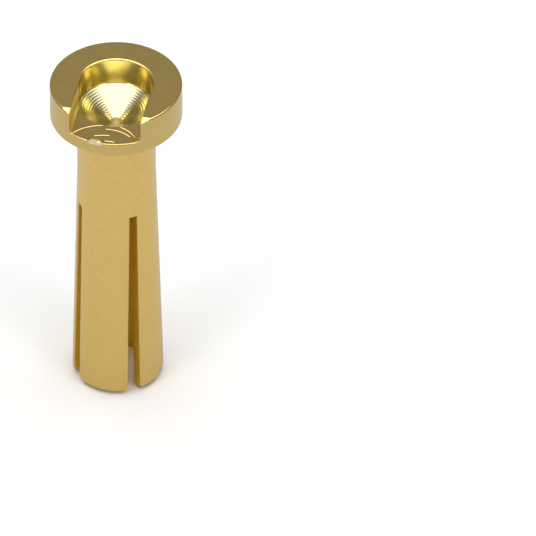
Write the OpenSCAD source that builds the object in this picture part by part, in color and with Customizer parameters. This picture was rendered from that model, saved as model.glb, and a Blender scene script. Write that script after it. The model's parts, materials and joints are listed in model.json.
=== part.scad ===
// Slotted bullet plug for a battery lead: one piece of turned, drilled, slotted and plated brass.
// Millimetres, +Z along the plug's axis from its finger tips to its head. The origin is on the
// axis in the plane of the finger tips, and the head's wire channel opens towards -Y.

/* [Head] */
// Diameter of the head
head_d = 6.72; // [6:0.02:9]
// Thickness of the head
head_thickness = 2; // [1.8:0.05:4]
// Radius of the head's two turned edges
head_edge_r = 0.09; // [0.04:0.01:0.25]

/* [Solder cup] */
// Diameter of the cup that the stripped wire is soldered into
cup_d = 3.8; // [3:0.05:4.4]
// Depth of the cup's straight wall below the head's top
cup_depth = 1.5; // [1.3:0.05:2]
// Width of the broken edge round the cup's mouth
cup_edge = 0.05; // [0.02:0.01:0.15]
// Angle of the cone that the drill leaves at the cup's bottom
drill_point_angle = 118; // [100:1:140]
// Diameter of the centre hole in the cup's bottom
centre_hole_d = 0.55; // [0.3:0.05:1]
// Depth of the centre hole below the tip of the cone
centre_hole_depth = 0.5; // [0.2:0.05:1]

/* [Wire channel] */
// Width of the channel that lets the wire leave the cup sideways
channel_w = 3.66; // [2:0.02:3.9]
// Depth of the channel's floor below the head's top
channel_depth = 1.25; // [0.6:0.05:1.6]
// Radius between the channel's floor and its two walls
channel_corner_r = 0.22; // [0.05:0.01:0.5]
// Distance from the plug's axis to the flat that eases the channel's mouth
mouth_flat_offset = 2.27; // [2:0.01:2.7]
// Fall of that flat below the head's top, going outwards
mouth_flat_angle = 10; // [4:1:20]

/* [Pin] */
// Diameter of the pin where it is straight, under the head
pin_d = 4; // [3.5:0.05:5]
// Length of the pin from the head's underside to the finger tips
pin_length = 16.8; // [16:0.1:24]

/* [Spring fingers] */
// Number of fingers, an even number because each saw cut goes right across the pin
finger_count = 4; // [2:2:6]
// Length of the fingers, which is the length of the slots between them
finger_length = 11.5; // [8:0.1:12.5]
// Thickness of the fingers
finger_wall = 0.72; // [0.5:0.02:0.9]
// Distance that each finger tip is sprung outwards past the straight pin
finger_spring = 0.34; // [0.1:0.02:0.6]
// Length of solid pin above the slots that opens with the fingers
spring_run = 2; // [1.2:0.1:3]
// Radius of the outer edge of the finger tips
finger_tip_r = 0.44; // [0.2:0.02:0.6]
// Width of the slots at their closed ends
slot_root_w = 0.4; // [0.2:0.02:0.8]
// Width of the slots at the finger tips
slot_tip_w = 0.68; // [0.3:0.02:1.2]
// Turn from the wire channel to the first slot
slot_turn = 36; // [0:1:90]
// Depth of the bore between the fingers, past the slots' closed ends
bore_run = 1; // [0.4:0.1:2]

/* [Hidden] */

$fn = 96;
plating = "#c9a24b";

// Cutting tools run this far past the metal that they cut.
overcut = 1;

head_r = head_d / 2;
cup_r = cup_d / 2;
pin_r = pin_d / 2;
top_z = pin_length + head_thickness;

cup_floor_z = top_z - cup_depth;
cup_cone_tip_z = cup_floor_z - drill_point_h(cup_r);
channel_floor_z = top_z - channel_depth;

flare_length = finger_length + spring_run;
flare_angle = atan(finger_spring / flare_length);
bore_depth = finger_length + bore_run;

// Height of a drill point of radius r
function drill_point_h(r) = r / tan(drill_point_angle / 2);

// Radius of the pin's outside and of its bore at height z
function pin_r_at(z) = pin_r + finger_spring * max(0, 1 - z / flare_length);
function bore_r_at(z) = pin_r_at(z) - finger_wall;

// Width of a slot at height z
function slot_w_at(z) = slot_tip_w + (slot_root_w - slot_tip_w) * z / finger_length;

// Half section of the head: a disc whose two outer edges are rounded
module head_section() {
    translate([0, pin_length]) {
        square([head_r - head_edge_r, head_thickness]);
        translate([0, head_edge_r])
            square([head_r, head_thickness - 2 * head_edge_r]);
        for (z = [head_edge_r, head_thickness - head_edge_r])
            translate([head_r - head_edge_r, z]) circle(head_edge_r);
    }
}

// Half section of the pin: straight under the head, opening to the rounded finger tips
module pin_section() {
    // The tip arc touches the tip plane and the sloping side of the fingers.
    arc_x = pin_r_at(finger_tip_r) - finger_tip_r / cos(flare_angle);
    arc_end_z = finger_tip_r * (1 + sin(flare_angle));
    difference() {
        polygon([
            [0, 0], [pin_r_at(0), 0], [pin_r, flare_length],
            [pin_r, cup_floor_z], [0, cup_floor_z]
        ]);
        difference() {
            translate([arc_x, -overcut])
                square([finger_tip_r + overcut, arc_end_z + overcut]);
            translate([arc_x, finger_tip_r]) circle(finger_tip_r);
        }
    }
}

// The turned blank
module blank() {
    rotate_extrude() {
        head_section();
        pin_section();
    }
}

// The solder cup, with its drill point and centre hole
module solder_cup() {
    rotate_extrude()
        polygon([
            [0, cup_cone_tip_z], [cup_r, cup_floor_z], [cup_r, top_z - cup_edge],
            [cup_r + cup_edge + overcut, top_z + overcut], [0, top_z + overcut]
        ]);
    translate([0, 0, cup_cone_tip_z - centre_hole_depth])
        cylinder(d = centre_hole_d, h = centre_hole_depth + drill_point_h(cup_r));
}

// The channel from the cup out through the head's side, with rounded floor corners
module wire_channel() {
    side_x = channel_w / 2 - channel_corner_r;
    translate([0, 0, channel_floor_z])
        rotate([90, 0, 0])
            linear_extrude(height = head_r + overcut) {
                translate([-side_x, 0])
                    square([2 * side_x, channel_depth + overcut]);
                translate([-channel_w / 2, channel_corner_r])
                    square([channel_w, channel_depth + overcut - channel_corner_r]);
                for (x = [-side_x, side_x])
                    translate([x, channel_corner_r]) circle(channel_corner_r);
            }
}

// The shallow sloping flat across the channel's mouth
module mouth_flat() {
    translate([-head_r, -mouth_flat_offset, top_z])
        rotate([mouth_flat_angle, 0, 0])
            translate([0, -head_r, 0])
                cube([head_d, head_r, head_thickness]);
}

// The bore between the fingers, which opens with them, with its drill point
module finger_bore() {
    mouth = [[0, -overcut], [bore_r_at(0), -overcut], [bore_r_at(0), 0]];
    straight = flare_length < bore_depth ? [[bore_r_at(flare_length), flare_length]] : [];
    floor_r = bore_r_at(bore_depth);
    rotate_extrude()
        polygon(concat(
            mouth, straight,
            [[floor_r, bore_depth], [0, bore_depth + drill_point_h(floor_r)]]
        ));
}

// One saw cut right across the pin, which makes two opposite slots
module saw_cut() {
    rotate([90, 0, 0])
        linear_extrude(height = 2 * (pin_r_at(0) + overcut), center = true)
            polygon([
                [-slot_w_at(-overcut) / 2, -overcut], [slot_w_at(-overcut) / 2, -overcut],
                [slot_root_w / 2, finger_length], [-slot_root_w / 2, finger_length]
            ]);
}

module bullet_plug() {
    color(plating)
        difference() {
            blank();
            solder_cup();
            wire_channel();
            mouth_flat();
            finger_bore();
            for (i = [0 : finger_count / 2 - 1])
                rotate([0, 0, slot_turn + i * 360 / finger_count]) saw_cut();
        }
}

bullet_plug();
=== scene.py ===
"""Slotted, gold-plated bullet plug for a battery lead, laid out as a Blender add-on and run as a script."""

import json
import math

import bpy
from mathutils import Matrix, Vector, noise

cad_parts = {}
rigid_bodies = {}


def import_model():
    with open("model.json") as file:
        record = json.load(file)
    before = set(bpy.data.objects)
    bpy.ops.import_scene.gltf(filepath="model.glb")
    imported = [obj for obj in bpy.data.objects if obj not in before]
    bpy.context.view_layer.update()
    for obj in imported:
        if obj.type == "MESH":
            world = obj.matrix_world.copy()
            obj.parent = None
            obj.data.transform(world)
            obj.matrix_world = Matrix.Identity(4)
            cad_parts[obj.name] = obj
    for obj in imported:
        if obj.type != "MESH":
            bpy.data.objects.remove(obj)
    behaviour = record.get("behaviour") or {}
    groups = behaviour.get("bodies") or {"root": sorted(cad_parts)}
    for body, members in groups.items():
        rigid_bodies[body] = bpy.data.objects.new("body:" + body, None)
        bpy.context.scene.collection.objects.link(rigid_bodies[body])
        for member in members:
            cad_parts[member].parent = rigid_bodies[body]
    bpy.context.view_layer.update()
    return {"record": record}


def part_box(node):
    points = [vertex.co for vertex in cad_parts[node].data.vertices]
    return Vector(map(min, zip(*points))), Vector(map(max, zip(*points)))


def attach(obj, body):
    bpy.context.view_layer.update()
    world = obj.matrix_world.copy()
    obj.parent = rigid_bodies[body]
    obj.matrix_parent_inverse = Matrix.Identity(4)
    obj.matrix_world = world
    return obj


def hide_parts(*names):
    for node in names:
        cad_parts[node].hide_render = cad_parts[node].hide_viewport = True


bl_info = {
    "name": "Slotted Bullet Plug",
    "version": (1, 0, 0),
    "blender": (4, 5, 0),
    "location": "3D View > Sidebar > Bullet Plug",
    "description": "Models and plates a turned, slotted bullet plug with a side-opening solder cup",
    "category": "Add Mesh",
}

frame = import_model()

MM = 0.001
NODE = "bullet_plug"
LOW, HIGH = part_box(NODE)
MOUNTS = {mount["name"]: mount for mount in frame["record"]["mounts"]}
CUP = MOUNTS["solder_cup"]
CUP_RADIUS = CUP["dims"]["r_mm"] * MM
SHOULDER_HEIGHT = MOUNTS["head_underside"]["pos_m"][2]

# Columns of faces round the plug. The wire channel is centred on column 0, and each slot
# takes SLOT_COLUMNS of them, centred on a multiple of a quarter turn past FIRST_SLOT.
COLUMNS = 160
SLOTS = 4
FIRST_SLOT = 16
SLOT_COLUMNS = 4
QUARTER = COLUMNS // SLOTS
FINGER_COLUMNS = QUARTER - SLOT_COLUMNS
CORNER_COLUMNS = 5
FLOOR_COLUMNS = 42
CHANNEL_COLUMNS = FLOOR_COLUMNS + 2 * CORNER_COLUMNS

# How far a finger's columns crowd towards its slots. At 1 they are evenly spaced.
CROWDING = 1.6

# Rows of faces along each stretch of the plug, and steps round each arc of its half section.
BORE_END_ROWS = 2
FINGER_ROWS = 18
INNER_TIP_ROWS = 8
OUTER_TIP_ROWS = 6
FLARE_ROWS = 4
SHANK_ROWS = 4
RIM_ROWS = 5
FLOOR_ROWS = 12
TIP_ARC_STEPS = 10
EDGE_ARC_STEPS = 5
STEPS_A_RING = 6

# Points closer than SAME_PLACE are one point. A sloping wall's points are found within NEAR.
SAME_PLACE = 1e-7
NEAR = 1e-6

# The burr: its lumps in waves a metre, then its mean, swing and least height, how far it leans
# outwards and how high it is looked for, as shares of its height, and how sharply it falls inwards.
BURR_LUMPS = 5200.0
BURR_MEAN = 0.55
BURR_SWING = 0.9
BURR_LEAST = 0.1
BURR_LEAN = 0.15
BURR_SEARCH = 1.5
BURR_FALL = 0.7



# ---------------------------------------------------------------- sizes and colours


def length(name, description, default):
    """A size in metres."""
    return bpy.props.FloatProperty(
        name=name, description=description, default=default, min=0.0,
        precision=6, subtype="DISTANCE", unit="LENGTH",
    )


def lengths(name, description, default):
    """Four lengths in metres, one for each slot, which may be negative."""
    return bpy.props.FloatVectorProperty(
        name=name, description=description, default=default, size=SLOTS,
        precision=6, subtype="NONE", unit="LENGTH",
    )


def angle(name, description, degrees):
    """An angle, given in degrees and kept in radians."""
    return bpy.props.FloatProperty(
        name=name, description=description, default=math.radians(degrees),
        subtype="ANGLE", unit="ROTATION",
    )


def colour(name, description, default):
    """A linear colour."""
    return bpy.props.FloatVectorProperty(
        name=name, description=description, default=default, min=0.0, max=1.0,
        size=3, subtype="COLOR",
    )


def share(name, description, default):
    """A number from 0 to 1."""
    return bpy.props.FloatProperty(
        name=name, description=description, default=default, min=0.0, max=1.0, subtype="FACTOR",
    )


def power(name, description, default):
    """The power of a lamp in watts."""
    return bpy.props.FloatProperty(
        name=name, description=description, default=default, min=0.0, unit="POWER",
    )


class PlugSizes(bpy.types.PropertyGroup):
    """The sizes of the plug. The overall ones come from the frame."""

    height: length("Height", "Length of the plug over all", HIGH.z)
    head_radius: length("Head Radius", "Radius of the head", HIGH.x)
    shoulder: length("Shoulder Height", "Height of the head's underside", SHOULDER_HEIGHT)
    head_edge: length("Head Edge", "Radius of the head's turned edges", 0.09 * MM)
    cup_radius: length("Cup Radius", "Radius of the solder cup", CUP_RADIUS)
    cup_depth: length("Cup Depth", "Depth of the cup's straight wall", 1.5 * MM)
    cup_edge: length("Cup Edge", "Width of the broken edge at the cup's mouth", 0.05 * MM)
    drill_angle: angle("Drill Angle", "Angle of the cone at the bottom of a drilled hole", 118)
    centre_hole_radius: length("Centre Hole Radius", "Radius of the hole in the cup's bottom", 0.275 * MM)
    centre_hole_depth: length("Centre Hole Depth", "Depth of that hole below the tip of the cone", 0.5 * MM)
    tool_ring: length("Tool Ring", "Pitch of the rings that the drill leaves in the cone", 0.125 * MM)
    tool_ring_depth: length("Tool Ring Depth", "Depth of those rings", 0.0022 * MM)
    channel_width: length("Channel Width", "Width of the wire channel", 3.66 * MM)
    channel_depth: length("Channel Depth", "Depth of the wire channel", 1.25 * MM)
    channel_corner: length("Channel Corner", "Radius between the channel's floor and walls", 0.22 * MM)
    mouth_flat_offset: length("Mouth Flat Offset", "Distance from the axis to the mouth's flat", 2.36 * MM)
    mouth_flat_angle: angle("Mouth Flat Angle", "Slope of that flat", 10)
    pin_radius: length("Pin Radius", "Radius of the straight part of the pin", 2.0 * MM)
    finger_length: length("Finger Length", "Length of the spring fingers", 11.5 * MM)
    finger_wall: length("Finger Wall", "Thickness of the spring fingers", 0.72 * MM)
    finger_spring: length("Finger Spring", "Distance each finger tip springs outwards", 0.34 * MM)
    spring_run: length("Spring Run", "Length above the slots that opens with the fingers", 2.0 * MM)
    finger_tip: length("Finger Tip", "Radius of the outer edge of the finger tips", 0.44 * MM)
    finger_corner: length("Finger Corner", "Radius of the finger tips' corners at the slots", 0.26 * MM)
    corner_run: length("Corner Run", "Height over which those corners pull the mesh up", 1.2 * MM)
    slot_root: length("Slot Root", "Width of a slot at its closed end", 0.4 * MM)
    slot_tips: lengths(
        "Slot Tips", "Width of each slot at the finger tips",
        (0.68 * MM, 0.64 * MM, 0.64 * MM, 0.66 * MM),
    )
    slot_leans: lengths(
        "Slot Leans", "Lean of each saw cut at the finger tips",
        (-0.15 * MM, 0.0, 0.0, -0.02 * MM),
    )
    burr_height: length("Burr Height", "Height of the burr left on the channel's edge", 0.2 * MM)
    burr_from: length("Burr From", "Distance from the channel's middle to the burr's far end", 0.8 * MM)
    burr_width: length("Burr Width", "Reach of the burr inwards from the rim", 0.3 * MM)
    bore_run: length("Bore Run", "Depth of the bore past the slots", 1.0 * MM)
    soft_edge: length("Soft Edge", "Width of the softened cut edges", 0.042 * MM)


class PlatingLook(bpy.types.PropertyGroup):
    """The colour and finish of the plating. The rim and the cone take darker copies of the gold, which are
    painted shade, and the cup, channel walls, centre hole, slots and burr take brighter ones, which are
    painted light and a painted highlight.
    """

    gold: colour("Gold", "Colour of the plating", (0.90, 0.66, 0.235))
    # Painted shade: a darker copy of the gold for the rim, standing in for the shaded floor that it
    # reflects.
    rim_gold_painted_shade: colour("Rim Gold", "Colour of the plating on the head's rim", (0.76, 0.585, 0.225))
    # Painted light: a paler, brighter copy of the gold for the cup's wall.
    cup_gold_painted_light: colour("Cup Gold", "Colour of the plating on the cup's wall", (1.0, 0.85, 0.31))
    # Painted shade: a darker, greyer copy of the gold for the cup's cone.
    cone_gold_painted_shade: colour("Cone Gold", "Colour of the thin plating on the cup's cone", (0.60, 0.54, 0.33))
    # Painted highlight: a pale, bright copy of the gold for the burr.
    burr_gold_painted_highlight: colour("Burr Gold", "Colour of the plating on the burr", (1.0, 0.93, 0.62))
    # Painted light: a brighter copy of the gold for the channel's walls.
    wall_gold_painted_light: colour("Wall Gold", "Colour of the plating on the channel's walls", (1.0, 0.88, 0.38))
    # Painted light: a pale, bright copy of the gold for the centre hole.
    hole_gold_painted_light: colour("Hole Gold", "Colour of the plating in the centre hole", (1.0, 0.96, 0.76))
    # Painted light: a deeper, brighter copy of the gold for the slots and the bore, standing in for light
    # bouncing between gold walls.
    slot_gold_painted_light: colour("Slot Gold", "Colour of the plating in the slots", (0.98, 0.74, 0.09))
    # Painted shade: pitch of the darker rings painted on the cone, which stand in for the reflections of
    # its tool rings.
    cone_shade_ring: length("Cone Ring", "Pitch of the fine rings seen in the cone's plating", 0.11 * MM)
    mottle: share("Mottle", "Depth of the faint clouds in the plating", 0.12)
    mill_mark: length("Mill Mark", "Width of the marks that the mill leaves in the channel", 0.035 * MM)
    mill_mark_depth: length("Mill Mark Depth", "Depth of those marks", 0.012 * MM)
    turned_roughness: share("Turned Roughness", "Roughness of the turned outside", 0.24)
    faced_roughness: share("Faced Roughness", "Roughness of the head's flat top", 0.22)
    drilled_roughness: share("Drilled Roughness", "Roughness inside the cup", 0.2)
    milled_roughness: share("Milled Roughness", "Roughness of the wire channel", 0.2)
    wall_roughness: share("Wall Roughness", "Roughness of the channel's walls", 0.33)
    burr_roughness: share("Burr Roughness", "Roughness of the burr", 0.5)
    sawn_roughness: share("Sawn Roughness", "Roughness of the slots and bore", 0.6)
    hole_roughness: share("Hole Roughness", "Roughness of the centre hole", 0.5)


class StageLook(bpy.types.PropertyGroup):
    """The floor, the lamps and the camera."""

    floor_shade: share("Floor Shade", "Brightness of the floor as the plug reflects it", 0.575)
    floor_white: share("Floor White", "Brightness of the floor as the camera sees it", 0.87)
    floor_size: length("Floor Size", "Side of the square floor", 4.0)
    wall_level: share("Wall Level", "Brightness of the studio walls as the plug reflects them", 0.24)
    softbox_size: length("Softbox Size", "Side of the overhead softbox", 0.33)
    softbox_height: length("Softbox Height", "Height of the overhead softbox", 0.26)
    softbox_shift: length("Softbox Shift", "Distance from the axis to that softbox's middle", 5 * MM)
    softbox_power: power("Softbox Power", "Power of the overhead softbox", 0.86)
    side_box_size: length("Side Box Size", "Side of each front softbox", 0.18)
    side_box_distance: length("Side Box Distance", "Distance of each front softbox", 0.55)
    side_box_turn: angle("Side Box Turn", "Turn of each front softbox away from the view", 43)
    side_box_rise: angle("Side Box Rise", "Height of each front softbox above the horizon", 33)
    side_box_power: power("Side Box Power", "Power of each front softbox", 0.5)
    view_turn: angle("View Turn", "Turn of the view to the side of the wire channel", 11.3)
    view_fall: angle("View Fall", "Angle at which the camera looks down", 40.09)
    view_distance: length("View Distance", "Distance from the camera to the point that it looks at", 0.8664)
    aim_side: length("Aim Side", "Distance of that point to the side of the plug's axis", 7.697 * MM)
    aim_height: length("Aim Height", "Height of that point", 6.58 * MM)
    focal_length: bpy.props.FloatProperty(
        name="Focal Length", description="Focal length of the camera", default=1139.0, unit="CAMERA",
    )


# ---------------------------------------------------------------- modelling helpers


def deselect_all():
    """Leaves nothing selected, so that an operator acts only on what is selected next."""
    for other in bpy.context.view_layer.objects:
        other.select_set(False)


def make_active(piece):
    """Selects one object alone."""
    deselect_all()
    bpy.context.view_layer.objects.active = piece
    piece.select_set(True)


def edit(piece, mode="VERT"):
    """Goes into edit mode on one piece, keeping the selection made in its mesh."""
    make_active(piece)
    bpy.ops.object.mode_set(mode="EDIT")
    bpy.ops.mesh.select_mode(type=mode)


def leave_edit():
    """Goes back to object mode."""
    bpy.ops.object.mode_set(mode="OBJECT")


def select_none(mesh):
    """Clears the selection in a mesh, in object mode."""
    for group in (mesh.polygons, mesh.edges, mesh.vertices):
        group.foreach_set("select", [False] * len(group))


def select_vertices(mesh, wanted):
    """Selects the vertices for which wanted(vertex) is true, and the edges between them."""
    select_none(mesh)
    for vertex in mesh.vertices:
        vertex.select = wanted(vertex)
    for edge in mesh.edges:
        edge.select = all(mesh.vertices[index].select for index in edge.vertices)


def select_faces(mesh, wanted):
    """Selects the faces for which wanted(face) is true."""
    select_none(mesh)
    for face in mesh.polygons:
        face.select = wanted(face)


def apply_modifier(piece, kind, **settings):
    """Adds a modifier with these settings and applies it."""
    make_active(piece)
    modifier = piece.modifiers.new(kind.title(), kind)
    for name, value in settings.items():
        setattr(modifier, name, value)
    bpy.ops.object.modifier_apply(modifier=modifier.name)


# ---------------------------------------------------------------- the plug's geometry


def drill_point(size, radius):
    """Height of a drill point of this radius."""
    return radius / math.tan(size.drill_angle / 2)


def flare_top(size):
    """Height up to which the pin opens towards its finger tips."""
    return size.finger_length + size.spring_run


def bore_top(size):
    """Height of the straight bore's end, under its drill point."""
    return size.finger_length + size.bore_run


def channel_floor(size):
    """Height of the wire channel's floor."""
    return size.height - size.channel_depth


def spring_at(size, z):
    """Distance that the fingers have sprung outwards at height z."""
    return size.finger_spring * max(0.0, 1 - z / flare_top(size))


def slot_walls_at(size, slot, z):
    """Distances of a slot's two walls at height z from the plane through its closed end and the axis."""
    share_down = max(0.0, 1 - z / size.finger_length)
    half_width = (size.slot_root + (size.slot_tips[slot] - size.slot_root) * share_down) / 2
    middle = size.slot_leans[slot] * share_down
    return middle - half_width, middle + half_width


def slot_plane(slot):
    """Turn of the plane through a slot's closed end and the axis."""
    return math.tau * (FIRST_SLOT / COLUMNS + slot / SLOTS)


def steps(start, end, count):
    """count points from start to end, leaving start out."""
    return [start + (end - start) * step / count for step in range(1, count + 1)]


def arc(centre, radius, from_degrees, to_degrees, count):
    """Points on an arc in the (r, z) plane, leaving the first out."""
    turns = steps(math.radians(from_degrees), math.radians(to_degrees), count)
    return [(centre[0] + radius * math.cos(t), centre[1] + radius * math.sin(t)) for t in turns]


def pin_profile(size):
    """The pin's half section: from the bore's drill point, round the finger tip and up to the head."""
    bore_radius = size.pin_radius - size.finger_wall
    bore_end = bore_top(size)

    def bore(z):
        return bore_radius + spring_at(size, z), z

    def outside(z):
        return size.pin_radius + spring_at(size, z), z

    tip_centre = (outside(size.finger_tip)[0] - size.finger_tip, size.finger_tip)
    points = [(0.0, bore_end + drill_point(size, bore(bore_end)[0])), bore(bore_end)]
    points += [bore(z) for z in steps(bore_end, size.finger_length, BORE_END_ROWS)]
    points += [bore(z) for z in steps(size.finger_length, size.corner_run, FINGER_ROWS)]
    points += [bore(z) for z in steps(size.corner_run, 0.0, INNER_TIP_ROWS)]
    points += [(tip_centre[0], 0.0)]
    points += arc(tip_centre, size.finger_tip, -90, 0, TIP_ARC_STEPS)
    points += [outside(z) for z in steps(size.finger_tip, size.corner_run, OUTER_TIP_ROWS)]
    points += [outside(z) for z in steps(size.corner_run, size.finger_length, FINGER_ROWS)]
    points += [outside(z) for z in steps(size.finger_length, flare_top(size), FLARE_ROWS)]
    points += [outside(z) for z in steps(flare_top(size), size.shoulder, SHANK_ROWS)]
    return points


def head_profile(size):
    """The head's half section: from its underside round the rim, over the top and down the cup."""
    edge = size.head_edge
    rim = size.head_radius
    floor = channel_floor(size)
    points = [(rim - edge, size.shoulder)]
    points += arc((rim - edge, size.shoulder + edge), edge, -90, 0, EDGE_ARC_STEPS)
    points += [(rim, z) for z in steps(size.shoulder + edge, floor, RIM_ROWS)]
    points += [(rim, size.height - edge)]
    points += arc((rim - edge, size.height - edge), edge, 0, 90, EDGE_ARC_STEPS)
    points += [(size.cup_radius + size.cup_edge, size.height)]
    points += [(size.cup_radius, size.height - size.cup_edge)]
    points += [(size.cup_radius, floor)]
    return points


def cup_profile(size):
    """The cup's half section under the channel's floor: its wall, its ringed cone and the centre hole."""
    cup_floor = size.height - size.cup_depth
    cone_tip = cup_floor - drill_point(size, size.cup_radius)
    hole_radius = size.centre_hole_radius
    hole_floor = cone_tip - size.centre_hole_depth
    rings = round((size.cup_radius - hole_radius) / size.tool_ring)
    points = [(size.cup_radius, cup_floor)]
    for step in range(1, rings * STEPS_A_RING):
        radius = size.cup_radius - step * size.tool_ring / STEPS_A_RING
        if radius < hole_radius + size.tool_ring / 2:
            break
        wave = math.cos(math.tau * step / STEPS_A_RING)
        points += [(radius, cone_tip + drill_point(size, radius) + wave * size.tool_ring_depth)]
    points += [(hole_radius, cone_tip + drill_point(size, hole_radius))]
    points += [(hole_radius, hole_floor)]
    points += [(0.0, hole_floor - drill_point(size, hole_radius))]
    return points


def spin_profile(piece, points):
    """Draws a half section by extruding one vertex along the points, and spins it round the axis."""
    edit(piece)
    bpy.ops.mesh.select_all(action="SELECT")
    bpy.ops.mesh.merge(type="CENTER")
    for here, there in zip(points, points[1:]):
        shift = (there[0] - here[0], 0.0, there[1] - here[1])
        bpy.ops.mesh.extrude_vertices_move(TRANSFORM_OT_translate={"value": shift})
    bpy.ops.mesh.select_all(action="SELECT")
    bpy.ops.mesh.spin(
        steps=COLUMNS, angle=math.tau, center=(0, 0, 0), axis=(0, 0, 1), use_auto_merge=False,
    )
    bpy.ops.mesh.select_all(action="SELECT")
    bpy.ops.mesh.remove_doubles(threshold=SAME_PLACE)
    bpy.ops.mesh.normals_make_consistent(inside=False)
    leave_edit()


def place_of(point):
    """A point as (column, radius, height), where column 0 faces -Y and columns rise towards +X."""
    turn = math.atan2(point.x, -point.y) % math.tau
    return turn * COLUMNS / math.tau, math.hypot(point.x, point.y), point.z


def column_offset(column, centre):
    """Columns from a centre column, from minus half the columns to plus half."""
    return (column - centre + COLUMNS / 2) % COLUMNS - COLUMNS / 2


def nearest_slot_offset(column):
    """Columns from the centre of the nearest slot."""
    return (column - FIRST_SLOT + QUARTER / 2) % QUARTER - QUARTER / 2


def in_slot(size, centre):
    """True for a face that a slot takes away."""
    column, _, z = place_of(centre)
    return abs(nearest_slot_offset(column)) < SLOT_COLUMNS / 2 and z < size.finger_length


def in_channel(size, centre):
    """True for a face that the wire channel takes away."""
    column, radius, z = place_of(centre)
    across = abs(column_offset(column, 0)) < CHANNEL_COLUMNS / 2
    return across and z > channel_floor(size) and radius > size.cup_radius - size.soft_edge


def channel_line(size, offset):
    """Distance across the channel of a column, and its height above the channel's floor."""
    half_floor = size.channel_width / 2 - size.channel_corner
    beyond = abs(offset) - FLOOR_COLUMNS / 2
    if beyond <= 0:
        return half_floor * offset / (FLOOR_COLUMNS / 2), 0.0
    turn = math.radians(90) * min(1.0, beyond / CORNER_COLUMNS)
    across = half_floor + size.channel_corner * math.sin(turn)
    return math.copysign(across, offset), size.channel_corner * (1 - math.cos(turn))


def head_turn(size, column, radius):
    """Turn of a column on the head, where columns follow the channel's walls."""
    offset = column_offset(column, 0)
    reach = max(radius, size.cup_radius)
    half = CHANNEL_COLUMNS / 2
    if abs(offset) <= half:
        return math.asin(channel_line(size, offset)[0] / reach)
    wall = math.asin(size.channel_width / 2 / reach)
    round_back = (abs(offset) - half) / (COLUMNS / 2 - half)
    return math.copysign(wall + (math.pi - wall) * round_back, offset)


def finger_walls(size, column, radius, z):
    """Turns of the slot walls on both sides of a finger, and a column's place past the first of them."""
    slot = (column - FIRST_SLOT) // QUARTER % SLOTS
    past_slot = (column - FIRST_SLOT) % QUARTER
    after = slot_plane(slot) + math.asin(slot_walls_at(size, slot, z)[1] / radius)
    before = math.asin(slot_walls_at(size, (slot + 1) % SLOTS, z)[0] / radius)
    return after, slot_plane(slot + 1) + before, past_slot - SLOT_COLUMNS // 2


def pin_turn(size, column, radius, z):
    """Turn of a column on the pin. Columns follow the slots' walls, and stand closer together near them."""
    after, before, past_wall = finger_walls(size, column, radius, z)
    half_slot = SLOT_COLUMNS // 2
    slot = (column - FIRST_SLOT) // QUARTER % SLOTS
    if past_wall < 0:
        return after + (after - slot_middle(size, slot, radius, z)) * past_wall / half_slot
    if past_wall > FINGER_COLUMNS:
        middle = slot_middle(size, (slot + 1) % SLOTS, radius, z)
        turns = round((before - middle) / math.tau) * math.tau
        return before + (middle + turns - before) * (past_wall - FINGER_COLUMNS) / half_slot
    part = past_wall / FINGER_COLUMNS
    eased = (2 * min(part, 1 - part)) ** CROWDING / 2
    return after + (before - after) * (eased if part < 0.5 else 1 - eased)


def slot_middle(size, slot, radius, z):
    """Turn of the middle of a slot."""
    return slot_plane(slot) + math.asin(sum(slot_walls_at(size, slot, z)) / 2 / radius)


def corner_lift(size, column, radius, z):
    """Height that the rounded corners of a finger's tip add to a point."""
    after, before, past_wall = finger_walls(size, column, radius, z)
    if z > size.corner_run or not 0 <= past_wall <= FINGER_COLUMNS:
        return 0.0
    turn = pin_turn(size, column, radius, z)
    from_wall = min(turn - after, before - turn) * radius
    inside = max(0.0, size.finger_corner - from_wall)
    lift = size.finger_corner - math.sqrt(size.finger_corner ** 2 - inside ** 2)
    return lift * (1 - z / size.corner_run)


def on_pin(size, radius, z):
    """True for a point of the bore or of the pin's outside, and not for one of the head or the cup."""
    widest = size.pin_radius + size.finger_spring
    outside = size.cup_radius < radius < widest + SAME_PLACE and z < size.shoulder + SAME_PLACE
    return outside or z < bore_top(size) + SAME_PLACE


def set_columns(size, mesh):
    """Slides the columns of the spun blank round the axis to the edges of the slots and the channel."""
    for vertex in mesh.vertices:
        column, radius, z = place_of(vertex.co)
        if radius < SAME_PLACE:
            continue
        column = round(column) % COLUMNS
        lift = 0.0
        if on_pin(size, radius, z):
            lift = corner_lift(size, column, radius, z)
            turn = pin_turn(size, column, radius, z + lift)
        else:
            turn = head_turn(size, column, radius)
            offset = column_offset(column, 0)
            if abs(z - channel_floor(size)) < SAME_PLACE and abs(offset) <= CHANNEL_COLUMNS / 2:
                lift = channel_line(size, offset)[1]
        vertex.co = (radius * math.sin(turn), -radius * math.cos(turn), z + lift)


def boundary(mesh):
    """The vertices on open edges, as a set of indices."""
    uses = {}
    for face in mesh.polygons:
        for key in face.edge_keys:
            uses[key] = uses.get(key, 0) + 1
    return {index for key, count in uses.items() if count == 1 for index in key}


def fill_between(piece, wanted):
    """Fills one face through the open vertices for which wanted(point) is true."""
    mesh = piece.data
    open_vertices = boundary(mesh)
    select_vertices(mesh, lambda vertex: vertex.index in open_vertices and wanted(vertex.co))
    edit(piece)
    bpy.ops.mesh.edge_face_add()
    leave_edit()


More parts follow.
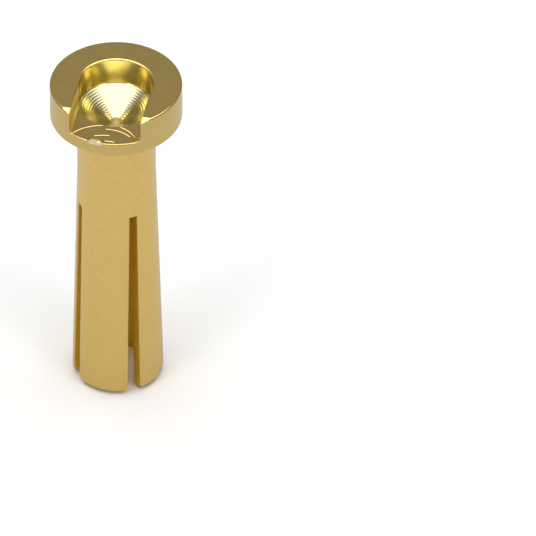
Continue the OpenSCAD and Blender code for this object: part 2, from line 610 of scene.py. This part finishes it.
def close_slots(size, piece):
    """Gives each slot its two walls and its square closed end."""
    top = size.finger_length
    for slot in range(SLOTS):
        turn = slot_plane(slot)
        outward = Vector((math.sin(turn), -math.cos(turn), 0))
        across = Vector((math.cos(turn), math.sin(turn), 0))

        def here(point):
            return point.z < top + SAME_PLACE and point.dot(outward) > size.slot_root

        def on_wall(point, side):
            return abs(point.dot(across) - slot_walls_at(size, slot, point.z)[side]) < NEAR

        def on_end(point):
            return abs(point.z - top) < SAME_PLACE and abs(point.dot(across)) < size.slot_root / 2 + NEAR

        for side in (0, 1):
            fill_between(piece, lambda point: here(point) and on_wall(point, side))
        fill_between(piece, lambda point: here(point) and on_end(point))


def close_channel(size, piece):
    """Gives the wire channel its floor, its rounded corners and its two walls."""
    mesh = piece.data
    floor = channel_floor(size)
    wall = size.channel_width / 2
    open_vertices = boundary(mesh)

    def on_floor(vertex):
        return vertex.index in open_vertices and vertex.co.z < floor + size.channel_corner + SAME_PLACE

    select_vertices(mesh, on_floor)
    edit(piece, "EDGE")
    bpy.ops.mesh.bridge_edge_loops(number_cuts=FLOOR_ROWS, interpolation="LINEAR")
    leave_edit()
    for side in (-1, 1):
        fill_between(piece, lambda point: abs(point.x * side - wall) < NEAR and point.z > floor)


def cut_mouth_flat(size, piece):
    """Cuts the shallow sloping flat across the channel's mouth."""
    edit(piece)
    bpy.ops.mesh.select_all(action="SELECT")
    bpy.ops.mesh.bisect(
        plane_co=(0, -size.mouth_flat_offset, size.height),
        plane_no=(0, -math.sin(size.mouth_flat_angle), math.cos(size.mouth_flat_angle)),
        use_fill=True, clear_outer=True, threshold=SAME_PLACE,
    )
    leave_edit()


def turn_plug(size):
    """The plug's mesh: turned, slotted and milled."""
    points = pin_profile(size) + head_profile(size) + cup_profile(size)
    deselect_all()
    bpy.ops.mesh.primitive_plane_add(size=MM, location=(0, 0, 0))
    piece = bpy.context.object
    piece.name = "gold_bullet_plug"
    piece.data.name = piece.name
    piece.data.transform(Matrix.Translation((points[0][0], 0, points[0][1])))
    spin_profile(piece, points)
    mesh = piece.data
    select_faces(mesh, lambda face: in_slot(size, face.center) or in_channel(size, face.center))
    edit(piece, "FACE")
    bpy.ops.mesh.delete(type="FACE")
    leave_edit()
    set_columns(size, mesh)
    close_slots(size, piece)
    close_channel(size, piece)
    cut_mouth_flat(size, piece)
    edit(piece)
    bpy.ops.mesh.select_all(action="SELECT")
    bpy.ops.mesh.remove_doubles(threshold=SAME_PLACE)
    bpy.ops.mesh.normals_make_consistent(inside=False)
    leave_edit()
    return piece


def burr_crest(size, point):
    """1 on the crest of the burr on the outer edge of the channel's floor, falling to 0 round it."""
    along = -point.x / size.burr_from
    inward = (size.head_radius - math.hypot(point.x, point.y)) / size.burr_width
    height = point.z - channel_floor(size)
    near_floor = -2 * size.soft_edge < height < size.burr_height * BURR_SEARCH
    if point.y > 0 or not 0 < along < 1 or inward > 1 or not near_floor:
        return 0.0
    return math.sin(math.pi * along) * (1 - max(0.0, inward)) ** BURR_FALL


def raise_burr(size, piece):
    """Raises an uneven burr on the outer edge of the channel's floor, where the mill broke out."""
    for vertex in piece.data.vertices:
        lump = BURR_MEAN + BURR_SWING * noise.noise(vertex.co * BURR_LUMPS)
        rise = size.burr_height * burr_crest(size, vertex.co) * max(BURR_LEAST, lump)
        vertex.co.z += rise
        vertex.co.y = max(vertex.co.y - BURR_LEAN * rise, -size.head_radius)


def soften_edges(size, piece):
    """Rounds the cut edges a little, as deburring and plating leave them."""
    apply_modifier(
        piece, "BEVEL", width=size.soft_edge, segments=3, miter_outer="MITER_ARC",
        limit_method="ANGLE", angle_limit=math.radians(38), use_clamp_overlap=False,
        harden_normals=True,
    )


# ---------------------------------------------------------------- plating


class Value:
    """A number that comes out of a shader node. Maths on it adds Math nodes."""

    def __init__(self, tree, socket):
        self.tree = tree
        self.socket = socket

    def math(self, operation, *others):
        """Adds a Math node with this number first."""
        return maths(self.tree, operation, self, *others)

    def __add__(self, other):
        return self.math("ADD", other)

    def __sub__(self, other):
        return self.math("SUBTRACT", other)

    def __rsub__(self, other):
        return maths(self.tree, "SUBTRACT", other, self)

    def __mul__(self, other):
        return self.math("MULTIPLY", other)

    def __truediv__(self, other):
        return self.math("DIVIDE", other)

    def __rtruediv__(self, other):
        return maths(self.tree, "DIVIDE", other, self)

    __radd__ = __add__
    __rmul__ = __mul__


def maths(tree, operation, *terms):
    """Adds a Math node on these terms and wraps its output."""
    node = tree.nodes.new("ShaderNodeMath")
    node.operation = operation
    for socket, term in zip(node.inputs, terms):
        put(tree, socket, term)
    return Value(tree, node.outputs[0])


def put(tree, socket, value):
    """Links a Value or another node's output to a socket, or sets a plain number or colour on it."""
    if isinstance(value, Value):
        value = value.socket
    if isinstance(value, bpy.types.NodeSocket):
        tree.links.new(value, socket)
    else:
        socket.default_value = value


# Noises, in waves a metre, and how rough their finest detail is.
NOISE_ROUGHNESS = 0.55
PATCHES = 1500.0
CLOUDS = 4500.0
CLOUD_DETAIL = 6.0

# How much of a cloud's depth each channel of its colour takes.
CLOUD_WEIGHTS = (1.0, 1.6, 2.6)

# The marks of the mill, in mm: each arc's centre x and y, its radius, and its ends along x.
MILL_PASSES = (
    (0.0, -3.90, 2.00, -1.68, -0.30),
    (0.15, -3.95, 1.80, -0.08, 1.25),
    (0.0, -3.65, 1.88, 0.62, 1.50),
    (0.30, -4.75, 2.13, -0.55, 0.20),
    (0.30, -5.20, 2.12, 0.06, 0.55),
)


class Finish:
    """A material being built: node() adds any node, and number() wraps its output for maths."""

    def __init__(self, name):
        self.material = bpy.data.materials.new(name)
        self.material.use_nodes = True
        self.tree = self.material.node_tree
        self.tree.nodes.clear()
        self.place = self.node("ShaderNodeTexCoord").outputs["Object"]

    def node(self, kind, settings=None, **values):
        """Adds a node. Settings are set first, and values go to the sockets of those names."""
        node = self.tree.nodes.new(kind)
        for name, value in (settings or {}).items():
            setattr(node, name, value)
        for name, value in values.items():
            put(self.tree, node.inputs[name.replace("_", " ")], value)
        return node

    def number(self, node, output=0):
        """Wraps one of a node's outputs for maths."""
        return Value(self.tree, node.outputs[output])

    def noise(self, scale, detail=3.0, stretch=(1, 1, 1)):
        """Noise from 0 to 1, with scale in waves per metre, stretched along the axes."""
        mapping = self.node("ShaderNodeMapping", Vector=self.place, Scale=stretch)
        made = self.node(
            "ShaderNodeTexNoise", Vector=mapping.outputs[0], Scale=scale, Detail=detail,
            Roughness=NOISE_ROUGHNESS,
        )
        return self.number(made)

    def uneven(self, roughness, spread):
        """A roughness that wanders in patches, by up to half the spread either way."""
        return roughness + (self.noise(PATCHES) - 0.5) * spread

    def axes(self):
        """The x, y and z of the point, in metres."""
        split = self.node("ShaderNodeSeparateXYZ", Vector=self.place)
        return [self.number(split, output) for output in range(3)]

    def blend(self, factor, first, second):
        """A colour that goes from the first to the second as the factor goes from 0 to 1."""
        mix = self.node("ShaderNodeMix", {"data_type": "RGBA"})
        put(self.tree, mix.inputs["Factor"], factor)
        put(self.tree, mix.inputs[6], (*first, 1.0))
        put(self.tree, mix.inputs[7], (*second, 1.0))
        return mix.outputs[2]

    def surface(self, gold, roughness, height, bump_depth):
        """Ends the material with a metal of this colour, roughness and relief."""
        bump = self.node("ShaderNodeBump", Strength=1.0, Distance=bump_depth, Height=height)
        metal = self.node(
            "ShaderNodeBsdfPrincipled", Base_Color=gold, Metallic=1.0, Roughness=roughness,
            Normal=bump.outputs[0],
        )
        end = self.node("ShaderNodeOutputMaterial")
        self.tree.links.new(metal.outputs[0], end.inputs["Surface"])
        return self.material


def toned(finish, gold, amount):
    """The plating's colour with faint cloudy variation in its tone."""
    deep = [channel * (1 - amount * weight) for channel, weight in zip(gold, CLOUD_WEIGHTS)]
    return finish.blend(finish.noise(CLOUDS, CLOUD_DETAIL), gold, deep)


def lathe_finish(look, name, gold, relief):
    """A turned surface: fine tool lines round the plug under a soft plating."""
    finish = Finish(name)
    lines = finish.noise(scale=120.0, detail=2.0, stretch=(1, 1, 150))
    grain = finish.noise(scale=9000.0, detail=4.0)
    roughness = finish.uneven(look.turned_roughness, spread=0.1)
    return finish.surface(toned(finish, gold, look.mottle), roughness, lines * 0.4 + grain * 0.6, relief)


def grained_finish(name, gold, mottle, roughness, grain, relief, spread=0.0):
    """A surface with clouds, a fine grain in waves a metre and, with a spread, patchy roughness."""
    finish = Finish(name)
    if spread:
        roughness = finish.uneven(roughness, spread)
    return finish.surface(toned(finish, gold, mottle), roughness, finish.noise(grain), relief)


def turned_finish(look):
    """The turned pin and the head's underside."""
    return lathe_finish(look, "turned gold plating", look.gold, relief=0.0012 * MM)


def rim_finish(look):
    """The head's turned rim, a little darker than the pin. That darker colour is painted shade, for the
    shaded floor that the rim reflects.
    """
    return lathe_finish(look, "rim gold plating", look.rim_gold_painted_shade, relief=0.001 * MM)


def faced_finish(look):
    """The head's flat top."""
    return grained_finish(
        "faced gold plating", look.gold, look.mottle * 0.5, look.faced_roughness,
        grain=12000.0, relief=0.0006 * MM, spread=0.06,
    )


def drilled_finish(look):
    """The cup's wall, with drill lines round it, in a paler, brighter gold that is painted light."""
    finish = Finish("drilled gold plating")
    lines = finish.noise(scale=150.0, detail=2.0, stretch=(1, 1, 120))
    roughness = finish.uneven(look.drilled_roughness, spread=0.05)
    return finish.surface(toned(finish, look.cup_gold_painted_light, look.mottle * 0.5), roughness, lines, 0.0015 * MM)


def cone_finish(look):
    """The cup's cone, in a darker, greyer gold that is painted shade, and darker still along fine rings, a
    painted shade for the reflections of its tool rings.
    """
    finish = Finish("cone gold plating")
    x, y, _ = finish.axes()
    radius = (x * x + y * y).math("SQRT")
    rings = (radius * (math.tau / look.cone_shade_ring)).math("SINE") * 0.5 + 0.5
    # Painted shade along the rings, standing in for their reflections, with random cloudy tone from the
    # noise.
    painted_ring_shade_and_mottle = rings * 0.7 + finish.noise(scale=2500.0) * 0.6 - 0.2
    grain = finish.noise(scale=12000.0, detail=2.0)
    roughness = finish.uneven(look.drilled_roughness, spread=0.05)
    # The darker gold of that painted ring shade.
    dark = [channel * 0.78 for channel in look.cone_gold_painted_shade]
    return finish.surface(finish.blend(painted_ring_shade_and_mottle, look.cone_gold_painted_shade, dark), roughness, grain, 0.0008 * MM)


def wall_finish(look):
    """The channel's two upright walls, in a brighter gold that is painted light."""
    return grained_finish(
        "channel wall gold plating", look.wall_gold_painted_light, look.mottle, look.wall_roughness,
        grain=6000.0, relief=0.002 * MM,
    )


def burr_finish(look):
    """The torn burr on the channel's edge, whose pale, bright colour is a painted highlight."""
    return grained_finish(
        "burr gold plating", look.burr_gold_painted_highlight, look.mottle, look.burr_roughness,
        grain=16000.0, relief=0.01 * MM,
    )


def hole_finish(look):
    """The centre hole in the cup's bottom, duller than the cone round it, in a pale, bright gold that is
    painted light.
    """
    return grained_finish(
        "centre hole gold plating", look.hole_gold_painted_light, look.mottle, look.hole_roughness,
        grain=15000.0, relief=0.002 * MM,
    )


def sawn_finish(look):
    """The slots' walls and the bore between the fingers, in a deeper, brighter gold that is painted light,
    for light bouncing between the gold walls.
    """
    return grained_finish(
        "sawn gold plating", look.slot_gold_painted_light, look.mottle * 0.5, look.sawn_roughness,
        grain=6000.0, relief=0.0012 * MM, spread=0.08,
    )


def line_mark(distance, width):
    """1 on a line and 0 beyond its width, from a distance across it."""
    return (1 - distance.math("ABSOLUTE") / width).math("MAXIMUM", 0.0)


def between(value, low, high):
    """1 where a value lies between two others, and 0 elsewhere."""
    return value.math("GREATER_THAN", low) * value.math("LESS_THAN", high)


def mill_marks(finish, width):
    """The curved marks of an end mill that came in from the side in steps, and a few short scratches."""
    x, y, _ = finish.axes()
    marks = []
    for centre_x, centre_y, radius, start, end in MILL_PASSES:
        from_x = x - centre_x * MM
        from_y = y - centre_y * MM
        distance = (from_x * from_x + from_y * from_y).math("SQRT") - radius * MM
        marks.append(line_mark(distance, width) * between(x, start * MM, end * MM))
    return sum(marks) * (finish.noise(scale=5000.0, detail=2.0) * 1.6 + 0.2)


def milled_finish(look):
    """The wire channel, with the mill's marks."""
    finish = Finish("milled gold plating")
    marks = mill_marks(finish, look.mill_mark)
    relief = marks + finish.noise(scale=9000.0) * 0.06
    roughness = finish.uneven(look.milled_roughness, spread=0.06)
    gold = toned(finish, look.gold, look.mottle * 0.6)
    return finish.surface(gold, roughness, relief, look.mill_mark_depth)


FINISHES = (
    turned_finish, rim_finish, faced_finish, drilled_finish, cone_finish, hole_finish,
    milled_finish, wall_finish, burr_finish, sawn_finish,
)
TURNED, RIM, FACED, DRILLED, CONE, HOLE, MILLED, WALL, BURR, SAWN = range(len(FINISHES))


# How far up or sideways a face has to look to count as the head's top, a channel's wall or the
# cone, and how near the burr's crest it has to be to count as the burr.
TOP_RISE = 0.9
WALL_LEAN = 0.7
CONE_RISE = 0.5
BURR_SHARE = 0.25


def finish_of(size, face):
    """Which finish a face of the plug takes, by its place, and so where the painted light and shade in
    those finishes' colours fall.
    """
    _, radius, z = place_of(face.center)
    bore_tip = bore_top(size) + drill_point(size, size.pin_radius)
    in_mouth = abs(face.center.x) < size.channel_width / 2 + SAME_PLACE and face.center.y < 0
    if z < bore_tip and radius < size.pin_radius - size.soft_edge * 2:
        return SAWN
    if z > size.height - size.head_edge and face.normal.z > TOP_RISE:
        return FACED
    if burr_crest(size, face.center) > BURR_SHARE:
        return BURR
    if z > channel_floor(size) - size.soft_edge and in_mouth and radius > size.cup_radius - size.soft_edge:
        return MILLED if abs(face.normal.x) < WALL_LEAN else WALL
    if z > bore_tip and radius < size.cup_radius + size.cup_edge:
        if radius < size.centre_hole_radius + SAME_PLACE:
            return HOLE
        on_cone = face.normal.z > CONE_RISE and z < size.height - size.cup_depth
        return CONE if on_cone else DRILLED
    return RIM if z > size.shoulder + SAME_PLACE else TURNED


# ---------------------------------------------------------------- operators


class PLUG_OT_make_plug(bpy.types.Operator):
    """Model the bullet plug and plate it"""

    bl_idname = "plug.make_plug"
    bl_label = "Bullet Plug"

    def execute(self, context):
        size = context.scene.plug_sizes
        piece = turn_plug(size)
        soften_edges(size, piece)
        raise_burr(size, piece)
        for finish in FINISHES:
            piece.data.materials.append(finish(context.scene.plating_look))
        for face in piece.data.polygons:
            face.material_index = finish_of(size, face)
        if boundary(piece.data):
            raise RuntimeError("the plug's mesh is open")
        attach(piece, "root")
        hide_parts("bullet_plug")
        return {"FINISHED"}


def floor_material(look):
    """A pale floor that the camera sees white, with its shadow kept, and the plug sees a little darker."""
    material = bpy.data.materials.new("pale floor")
    material.use_nodes = True
    tree = material.node_tree
    tree.nodes.clear()
    path = tree.nodes.new("ShaderNodeLightPath")
    mix = tree.nodes.new("ShaderNodeMixShader")
    tree.links.new(path.outputs["Is Camera Ray"], mix.inputs[0])
    for slot, level in ((1, look.floor_shade), (2, look.floor_white)):
        matt = tree.nodes.new("ShaderNodeBsdfDiffuse")
        matt.inputs["Color"].default_value = (level, level, level, 1.0)
        tree.links.new(matt.outputs[0], mix.inputs[slot])
    end = tree.nodes.new("ShaderNodeOutputMaterial")
    tree.links.new(mix.outputs[0], end.inputs["Surface"])
    return material


def studio_walls(look):
    """The world: white to the camera, and plain grey walls to the plug."""
    world = bpy.data.worlds.new("studio walls")
    bpy.context.scene.world = world
    world.use_nodes = True
    tree = world.node_tree
    tree.nodes.clear()
    path = tree.nodes.new("ShaderNodeLightPath")
    seen = Value(tree, path.outputs["Is Camera Ray"])
    strength = seen + (1 - seen) * look.wall_level
    sky = tree.nodes.new("ShaderNodeBackground")
    put(tree, sky.inputs["Strength"], strength)
    sky.inputs["Color"].default_value = (1, 1, 1, 1)
    end = tree.nodes.new("ShaderNodeOutputWorld")
    tree.links.new(sky.outputs[0], end.inputs["Surface"])


def add_softbox(name, location, side, watts):
    """A square softbox that faces the plug and that the camera doesn't see."""
    deselect_all()
    bpy.ops.object.light_add(type="AREA", location=location)
    lamp = bpy.context.object
    lamp.name = name
    lamp.data.shape = "SQUARE"
    lamp.data.size = side
    lamp.data.energy = watts
    lamp.rotation_euler = (-Vector(location)).to_track_quat("-Z", "Y").to_euler()
    lamp.visible_camera = False


def add_softboxes(look):
    """The overhead softbox, and one to each side in front of the plug."""
    overhead = (-look.softbox_shift, 0, look.softbox_height)
    add_softbox("overhead softbox", overhead, look.softbox_size, look.softbox_power)
    level = math.cos(look.side_box_rise) * look.side_box_distance
    height = math.sin(look.side_box_rise) * look.side_box_distance
    for name, side in (("left softbox", -1), ("right softbox", 1)):
        turn = look.view_turn + side * look.side_box_turn
        place = (math.sin(turn) * level, -math.cos(turn) * level, height)
        add_softbox(name, place, look.side_box_size, look.side_box_power)


# The camera sees from this many times nearer than the plug to this many times farther.
CLIP_RANGE = 10


def add_camera(look):
    """The camera, looking down at the plug from the side of its wire channel."""
    turn = Matrix.Rotation(look.view_turn, 3, "Z")
    look_along = turn @ Vector((0, math.cos(look.view_fall), -math.sin(look.view_fall)))
    aim = turn @ Vector((look.aim_side, 0, 0)) + Vector((0, 0, look.aim_height))
    deselect_all()
    bpy.ops.object.camera_add(location=aim - look_along * look.view_distance)
    camera = bpy.context.object
    camera.rotation_euler = look_along.to_track_quat("-Z", "Y").to_euler()
    camera.data.lens = look.focal_length
    camera.data.clip_start = look.view_distance / CLIP_RANGE
    camera.data.clip_end = look.view_distance * CLIP_RANGE
    bpy.context.scene.camera = camera


class PLUG_OT_set_stage(bpy.types.Operator):
    """Set the floor, the studio light and the camera"""

    bl_idname = "plug.set_stage"
    bl_label = "Stage"

    def execute(self, context):
        look = context.scene.stage_look
        deselect_all()
        bpy.ops.mesh.primitive_plane_add(size=look.floor_size, location=(0, 0, 0))
        floor = context.object
        floor.name = "floor"
        floor.data.materials.append(floor_material(look))
        studio_walls(look)
        add_softboxes(look)
        add_camera(look)
        context.scene.view_settings.view_transform = "Standard"
        return {"FINISHED"}


class PLUG_PT_sidebar(bpy.types.Panel):
    """The plug's tools in the sidebar"""

    bl_label = "Bullet Plug"
    bl_space_type = "VIEW_3D"
    bl_region_type = "UI"
    bl_category = "Bullet Plug"

    def draw(self, context):
        for operator in OPERATORS:
            self.layout.operator(operator.bl_idname)
        for group in (context.scene.plug_sizes, context.scene.plating_look, context.scene.stage_look):
            column = self.layout.column()
            for name in group.__annotations__:
                column.prop(group, name)


OPERATORS = (PLUG_OT_make_plug, PLUG_OT_set_stage)
CLASSES = (PlugSizes, PlatingLook, StageLook, *OPERATORS, PLUG_PT_sidebar)


def register():
    """Registers the classes and hangs the settings on the scene."""
    for each in CLASSES:
        bpy.utils.register_class(each)
    bpy.types.Scene.plug_sizes = bpy.props.PointerProperty(type=PlugSizes)
    bpy.types.Scene.plating_look = bpy.props.PointerProperty(type=PlatingLook)
    bpy.types.Scene.stage_look = bpy.props.PointerProperty(type=StageLook)


def unregister():
    """Takes the settings and the classes away again."""
    for name in ("plug_sizes", "plating_look", "stage_look"):
        delattr(bpy.types.Scene, name)
    for each in reversed(CLASSES):
        bpy.utils.unregister_class(each)


def main():
    register()
    bpy.ops.plug.make_plug()
    bpy.ops.plug.set_stage()


if __name__ == "__main__":
    main()
